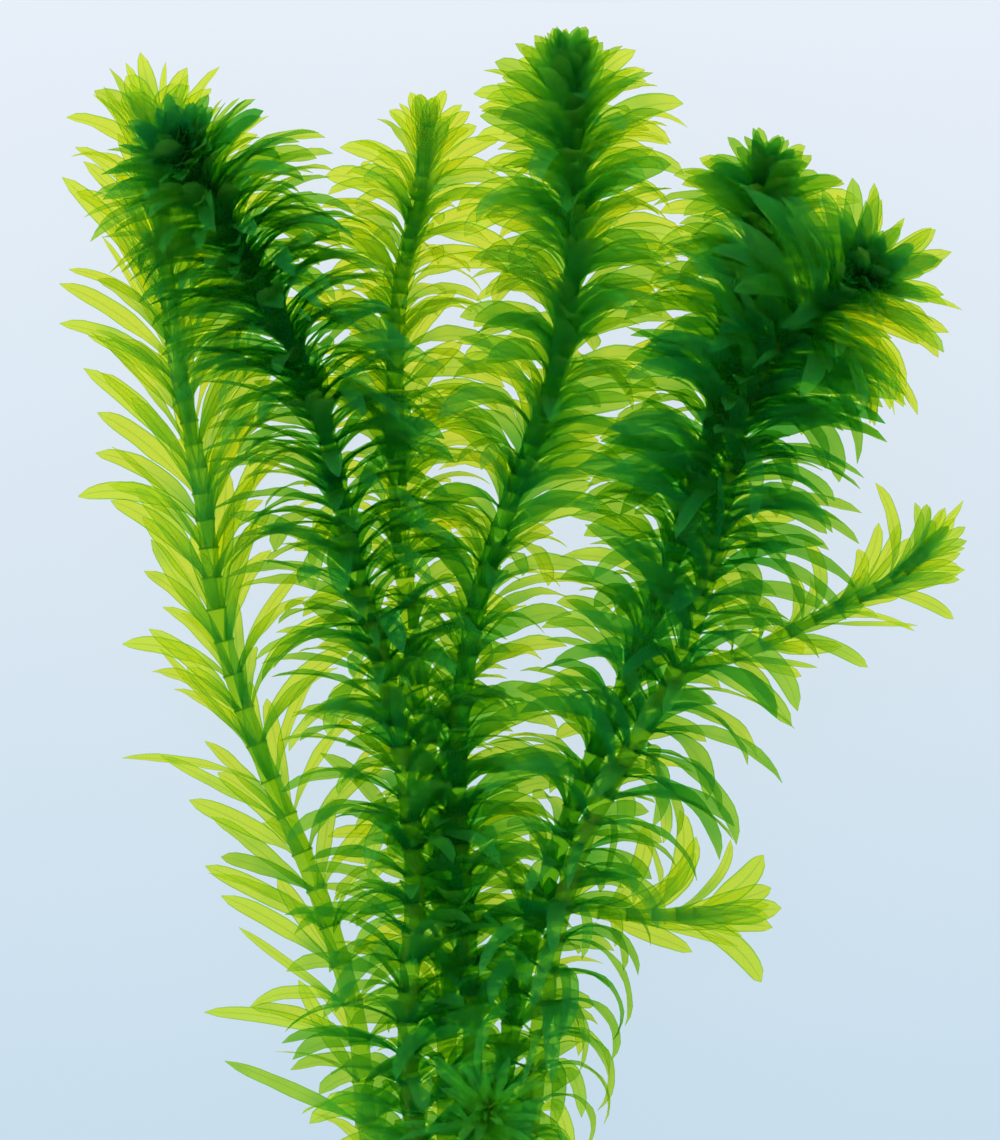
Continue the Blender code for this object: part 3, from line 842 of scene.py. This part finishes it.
def grow_stem(stem, curve, length, tree, material):
    """A stem's stalk, with its collars."""
    places, girths, collars = stem_line(stem, curve, length)
    edges = [(index, index + 1) for index in range(len(places) - 1)]
    seeds = seed_mesh(stem.name + "_line", places, edges, {
        "girth": ("FLOAT", girths), "collar": ("FLOAT", collars),
        "tone": ("FLOAT", [stem.stem_tone] * len(places))})
    return grown(stem.name + "_stalk", seeds, tree, {"Sides": STEM_SIDES, "Material": material},
                 keep=("collar", "tone"))


# The crown


def ring_of(bm, centre, along, over, half_width, half_height, sides):
    """An oval ring of points across a way, with its height along another."""
    side = along.cross(over)
    return [bm.verts.new((centre + half_width * math.cos(turn) * side
                          + half_height * math.sin(turn) * over) * MM)
            for turn in (math.tau * index / sides for index in range(sides))]


def loft(bm, rings):
    """Skin a row of rings and close both ends."""
    for lower, upper in zip(rings, rings[1:]):
        for index in range(len(lower)):
            after = (index + 1) % len(lower)
            bm.faces.new((lower[index], lower[after], upper[after], upper[index]))
    bm.faces.new(rings[0][::-1])
    bm.faces.new(rings[-1])


def make_crown(curves, material):
    """The short crown that the long stems leave: a knuckled body with a sleeve round each stem."""
    bm = bmesh.new()
    centre = Vector((CROWN_CENTRE[0], 0, CROWN_CENTRE[1])) + Vector((SHIFT.x, 0, SHIFT.z))
    loft(bm, [ring_of(bm, centre + Vector((0, y + SHIFT.y, 0)), HEAD_WAY, UP,
                      half_width - CROWN_INSET, half_height - CROWN_INSET, CROWN_SIDES)
              for y, half_width, half_height in CROWN_RINGS])
    for curve in curves:
        sleeve = []
        for distance, radius in SLEEVE:
            place, along = at_distance(curve, distance)
            place = place + along * min(distance, 0)
            over = (UP - UP.dot(along) * along).normalized()
            sleeve.append(ring_of(bm, place, along, over, radius, radius, SLEEVE_SIDES))
        loft(bm, sleeve)
    bmesh.ops.recalc_face_normals(bm, faces=bm.faces[:])
    mesh = bpy.data.meshes.new("crown_body")
    bm.to_mesh(mesh)
    bm.free()
    rough = bpy.data.objects.new("crown_rough", mesh)
    bpy.context.scene.collection.objects.link(rough)
    remesh = rough.modifiers.new("skin", "REMESH")
    remesh.mode = "VOXEL"
    remesh.voxel_size = CROWN_VOXEL * MM
    smooth = rough.modifiers.new("round", "SMOOTH")
    smooth.factor = CROWN_SMOOTHING
    smooth.iterations = CROWN_SMOOTH_ROUNDS
    depsgraph = bpy.context.evaluated_depsgraph_get()
    skin = bpy.data.meshes.new_from_object(rough.evaluated_get(depsgraph), depsgraph=depsgraph)
    bpy.data.objects.remove(rough)
    skin.name = "crown"
    skin.materials.clear()
    skin.materials.append(material)
    skin.shade_smooth()
    piece = bpy.data.objects.new("crown", skin)
    bpy.context.scene.collection.objects.link(piece)
    return piece


# Materials


def colour_mix(tree, share, first, second):
    node = tree.nodes.new("ShaderNodeMix")
    node.data_type = "RGBA"
    join(tree, share, node.inputs[0])
    join(tree, first, node.inputs[6])
    join(tree, second, node.inputs[7])
    return node.outputs[2]


def noise(tree, coordinates, scale, detail=3.0):
    node = tree.nodes.new("ShaderNodeTexNoise")
    node.inputs["Scale"].default_value = scale
    node.inputs["Detail"].default_value = detail
    join(tree, coordinates, node.inputs["Vector"])
    return node.outputs["Fac"]


def ramp(tree, value, *stops):
    """A straight ramp, held level past its ends: from, to, and what it gives at each."""
    node = tree.nodes.new("ShaderNodeMapRange")
    for socket, stop in zip(list(node.inputs)[1:5], stops):
        socket.default_value = stop
    join(tree, value, node.inputs["Value"])
    return node.outputs["Result"]


def bumped(tree, height, strength, depth):
    """The normal of a surface that a height raises and lowers, by a depth in millimetres."""
    node = tree.nodes.new("ShaderNodeBump")
    node.inputs["Strength"].default_value = strength
    node.inputs["Distance"].default_value = depth * MM
    join(tree, height, node.inputs["Height"])
    return node.outputs[0]


def carried(tree, name):
    """The value that a piece's mesh carries under a name."""
    node = tree.nodes.new("ShaderNodeAttribute")
    node.attribute_name = name
    return node


def object_place(tree):
    return tree.nodes.new("ShaderNodeTexCoord").outputs["Object"]


def make_mottle():
    """Shared mottling: slow patches and fine cells, as a mask for colour and a height."""
    tree = bpy.data.node_groups.new("mottle", "ShaderNodeTree")
    tree.interface.new_socket("Scale", in_out="INPUT", socket_type="NodeSocketFloat")
    tree.interface.new_socket("Patches", in_out="OUTPUT", socket_type="NodeSocketFloat")
    tree.interface.new_socket("Cells", in_out="OUTPUT", socket_type="NodeSocketFloat")
    inputs = tree.nodes.new("NodeGroupInput").outputs
    ends = tree.nodes.new("NodeGroupOutput").inputs
    place = object_place(tree)
    patches = tree.nodes.new("ShaderNodeTexNoise")
    join(tree, place, patches.inputs["Vector"])
    join(tree, inputs["Scale"], patches.inputs["Scale"])
    patches.inputs["Detail"].default_value = 1.0
    cells = tree.nodes.new("ShaderNodeTexVoronoi")
    join(tree, place, cells.inputs["Vector"])
    join(tree, maths(tree, "MULTIPLY", inputs["Scale"], CELLS_IN_PATCH), cells.inputs["Scale"])
    join(tree, patches.outputs["Fac"], ends["Patches"])
    join(tree, cells.outputs["Distance"], ends["Cells"])
    return tree


def mottled(tree, mottle, scale):
    node = tree.nodes.new("ShaderNodeGroup")
    node.node_tree = mottle
    node.inputs["Scale"].default_value = scale
    return node.outputs["Patches"], node.outputs["Cells"]


def clean_material(name):
    material = bpy.data.materials.new(name)
    material.use_nodes = True
    tree = material.node_tree
    tree.nodes.clear()
    return material, tree, tree.nodes.new("ShaderNodeOutputMaterial").inputs["Surface"]


def shader_mix(tree, share, first, second):
    node = tree.nodes.new("ShaderNodeMixShader")
    join(tree, share, node.inputs[0])
    join(tree, first, node.inputs[1])
    join(tree, second, node.inputs[2])
    return node.outputs[0]


def make_leaf_material(mottle):
    """A thin leaf: light passes straight through it and spreads, tinted by its green. Its margin is
    painted darker in the light through it, as painted shade, and paler on its skin, as a painted
    highlight.
    """
    material, tree, surface = clean_material("leaf_blade")
    form = tree.nodes.new("ShaderNodeSeparateXYZ")
    join(tree, carried(tree, "form").outputs["Vector"], form.inputs[0])
    v, _, u = form.outputs
    across = maths(tree, "ABSOLUTE", v)
    tone = carried(tree, "tone").outputs["Fac"]
    patches, _ = mottled(tree, mottle, LEAF_MOTTLE)

    midrib = ramp(tree, across, *MIDRIB)
    margin_shade_and_highlight = ramp(tree, across, *MARGIN_SHADE_AND_HIGHLIGHT)
    base = ramp(tree, u, *LEAF_BASE)
    pale = maths(tree, "ADD", tone, ramp(tree, patches, *LEAF_PATCHES))
    pale = maths(tree, "ADD", pale, maths(tree, "MULTIPLY", u, POINT_TONE))
    clamp = tree.nodes.new("ShaderNodeClamp")
    join(tree, maths(tree, "MULTIPLY_ADD", base, BASE_TONE, pale), clamp.inputs["Value"])
    pale = clamp.outputs[0]

    through = colour_mix(tree, pale, LEAF_DEEP, LEAF_CLEAR)
    through = colour_mix(tree, maths(tree, "MULTIPLY", midrib, MIDRIB_SHARE), through, LEAF_DEEP)
    # painted shade: darker light through the leaf at its margin
    through = colour_mix(tree, maths(tree, "MULTIPLY", margin_shade_and_highlight, MARGIN_SHADE_SHARE), through, LEAF_MARGIN_SHADE)
    skin_colour = colour_mix(tree, pale, LEAF_SKIN_DEEP, LEAF_SKIN_CLEAR)
    # painted highlight: a paler skin at the margin
    skin_colour = colour_mix(tree, maths(tree, "MULTIPLY", margin_shade_and_highlight, MARGIN_HIGHLIGHT_SHARE),
                             skin_colour, LEAF_MARGIN_HIGHLIGHT)
    normal = bumped(tree, midrib, *LEAF_BUMP)

    skin = tree.nodes.new("ShaderNodeBsdfPrincipled")
    skin.inputs["Specular IOR Level"].default_value = LEAF_SHEEN
    join(tree, skin_colour, skin.inputs["Base Color"])
    join(tree, ramp(tree, patches, *LEAF_ROUGHNESS), skin.inputs["Roughness"])
    join(tree, normal, skin.inputs["Normal"])
    glow = tree.nodes.new("ShaderNodeBsdfTranslucent")
    join(tree, colour_mix(tree, GLOW_TINT, skin_colour, through), glow.inputs["Color"])
    join(tree, normal, glow.inputs["Normal"])
    film = tree.nodes.new("ShaderNodeBsdfTransparent")
    join(tree, through, film.inputs["Color"])
    lit = shader_mix(tree, GLOW, skin.outputs[0], glow.outputs[0])
    join(tree, shader_mix(tree, SEE_THROUGH, lit, film.outputs[0]), surface)
    material.use_transparent_shadow = False
    return material


def make_stem_material(mottle):
    """A fleshy stem: green light comes through the waists, and the collars carry a painted shade.
    """
    material, tree, surface = clean_material("stem_flesh")
    collar = carried(tree, "collar").outputs["Fac"]
    tone = carried(tree, "tone").outputs["Fac"]
    patches, cells = mottled(tree, mottle, STEM_MOTTLE)
    flesh = colour_mix(tree, tone, STEM_DEEP, STEM_CLEAR)
    # painted shade at the collars, together with the mottle's real patches
    collar_shade_and_mottle = maths(tree, "ADD", ramp(tree, collar, *COLLAR_SHADE), ramp(tree, patches, *STEM_PATCHES))
    flesh = colour_mix(tree, collar_shade_and_mottle, flesh, STEM_COLLAR_SHADE)
    skin_colour = colour_mix(tree, STEM_SKIN_SHARE, flesh, STEM_SKIN)
    streak = tree.nodes.new("ShaderNodeMapping")
    streak.inputs["Scale"].default_value = STEM_STREAKS
    join(tree, object_place(tree), streak.inputs["Vector"])
    grain = noise(tree, streak.outputs[0], 1.0)
    height = maths(tree, "MULTIPLY_ADD", cells, STEM_CELLS, grain)
    skin = tree.nodes.new("ShaderNodeBsdfPrincipled")
    skin.inputs["Specular IOR Level"].default_value = STEM_SHEEN
    join(tree, skin_colour, skin.inputs["Base Color"])
    join(tree, ramp(tree, grain, *STEM_ROUGHNESS), skin.inputs["Roughness"])
    join(tree, bumped(tree, height, *STEM_BUMP), skin.inputs["Normal"])
    glow = tree.nodes.new("ShaderNodeBsdfTranslucent")
    join(tree, skin_colour, glow.inputs["Color"])
    film = tree.nodes.new("ShaderNodeBsdfTransparent")
    join(tree, flesh, film.inputs["Color"])
    lit = shader_mix(tree, STEM_GLOW, skin.outputs[0], glow.outputs[0])
    join(tree, shader_mix(tree, STEM_SEE_THROUGH, lit, film.outputs[0]), surface)
    material.use_transparent_shadow = False
    return material


def make_crown_material(mottle):
    """The old crown: tougher and duller, browner towards the foot and pale where it is cut."""
    material, tree, surface = clean_material("crown_rind")
    patches, cells = mottled(tree, mottle, RIND_MOTTLE)
    place = tree.nodes.new("ShaderNodeSeparateXYZ")
    join(tree, object_place(tree), place.inputs[0])
    low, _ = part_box("base_crown")
    cut_from, cut_to = (low.y + height * MM for height in RIND_CUT_HEIGHTS)
    foot = ramp(tree, place.outputs[1], low.y, low.y + RIND_FOOT_HEIGHT * MM, 1.0, 0.0)
    cut = ramp(tree, place.outputs[1], cut_from, cut_to, 1.0, 0.0)
    rind = colour_mix(tree, ramp(tree, patches, *RIND_PATCHES), RIND_DEEP, RIND_CLEAR)
    rind = colour_mix(tree, maths(tree, "MULTIPLY", foot, RIND_FOOT_SHARE), rind, RIND_FOOT)
    rind = colour_mix(tree, maths(tree, "MULTIPLY", cut, RIND_CUT_SHARE), rind, RIND_CUT)
    height = maths(tree, "ADD", patches, maths(tree, "MULTIPLY", cells, RIND_CELLS))
    skin = tree.nodes.new("ShaderNodeBsdfPrincipled")
    join(tree, rind, skin.inputs["Base Color"])
    join(tree, ramp(tree, cells, *RIND_ROUGHNESS), skin.inputs["Roughness"])
    join(tree, bumped(tree, height, *RIND_BUMP), skin.inputs["Normal"])
    join(tree, skin.outputs[0], surface)
    return material


# The floor, the light and the camera


def make_floor():
    """A pale surface that glows as if lit evenly from below, its glow painted dimmer towards the
    foot as a falloff of light.
    """
    bpy.ops.mesh.primitive_plane_add(size=FLOOR_SIZE * MM, location=(0, 0, -FLOOR_DROP * MM))
    floor = bpy.context.active_object
    floor.name = "floor"
    material, tree, surface = clean_material("pale_floor")
    place = tree.nodes.new("ShaderNodeSeparateXYZ")
    join(tree, object_place(tree), place.inputs[0])
    middle = PICTURE_CENTRE[1] * MM
    half = PICTURE_HEIGHT / 2 * MM
    # painted falloff: the glow dims from the top of the picture towards the foot
    glow_falloff = colour_mix(tree, ramp(tree, place.outputs[1], middle - half, middle, 0.0, 1.0),
                       FLOOR_GLOW_BOTTOM, FLOOR_GLOW_MIDDLE)
    glow_falloff = colour_mix(tree, ramp(tree, place.outputs[1], middle, middle + half, 0.0, 1.0),
                       glow_falloff, FLOOR_GLOW_TOP)
    glow = tree.nodes.new("ShaderNodeEmission")
    glow.inputs["Strength"].default_value = FLOOR_GLOW
    join(tree, glow_falloff, glow.inputs["Color"])
    dull = tree.nodes.new("ShaderNodeBsdfDiffuse")
    dull.inputs["Color"].default_value = FLOOR_DULL
    both = tree.nodes.new("ShaderNodeAddShader")
    join(tree, glow.outputs[0], both.inputs[0])
    join(tree, dull.outputs[0], both.inputs[1])
    join(tree, both.outputs[0], surface)
    material.cycles.emission_sampling = "NONE"
    floor.data.materials.append(material)


def make_light():
    """A soft pale dome, brightest overhead and a little to the upper left."""
    world = bpy.data.worlds.new("pale_dome")
    world.use_nodes = True
    tree = world.node_tree
    way = tree.nodes.new("ShaderNodeTexCoord").outputs["Generated"]
    towards = vectors(tree, "DOT_PRODUCT", way, DOME_WAY)
    sky = tree.nodes["Background"]
    sky.inputs["Color"].default_value = DOME_COLOUR
    join(tree, ramp(tree, towards, 0.0, 1.0, *DOME_STRENGTH), sky.inputs["Strength"])
    world.cycles.sampling_method = "NONE"
    bpy.context.scene.world = world


def make_camera():
    """Straight above the bunch, far off, with the heads at the top of the picture."""
    camera = bpy.data.cameras.new("camera")
    camera.sensor_width = SENSOR
    camera.lens = SENSOR * PICTURE_DISTANCE / PICTURE_HEIGHT
    camera.clip_end = CAMERA_REACH * MM
    item = bpy.data.objects.new("camera", camera)
    x, y = PICTURE_CENTRE
    item.location = (Vector((x, y, PICTURE_LEVEL + PICTURE_DISTANCE)) + SHIFT) * MM
    bpy.context.scene.collection.objects.link(item)
    bpy.context.scene.camera = item


def place_piece(piece, node):
    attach(piece, "root")
    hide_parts(node)


def main():
    mottle = make_mottle()
    leaf_material = make_leaf_material(mottle)
    stem_material = make_stem_material(mottle)
    leaf_tree = make_leaf_tree()
    stem_tree = make_stem_tree()
    curves = []
    for stem in STEMS:
        curve = smooth_curve(stem.route)
        length = curve_length(curve)
        place_piece(grow_stem(stem, curve, length, stem_tree, stem_material), stem.name)
        place_piece(grow_leaves(stem, curve, length, leaf_tree, leaf_material), stem.name)
        if "shoot" not in stem.name:
            curves.append(curve)
    place_piece(make_crown(curves, make_crown_material(mottle)), "base_crown")
    make_floor()
    make_light()
    make_camera()
    scene = bpy.context.scene
    scene.view_settings.view_transform = "Standard"
    scene.cycles.transparent_max_bounces = 16
    scene.cycles.max_bounces = 2
    scene.cycles.diffuse_bounces = 1
    scene.cycles.glossy_bounces = 1
    scene.cycles.transmission_bounces = 0


main()
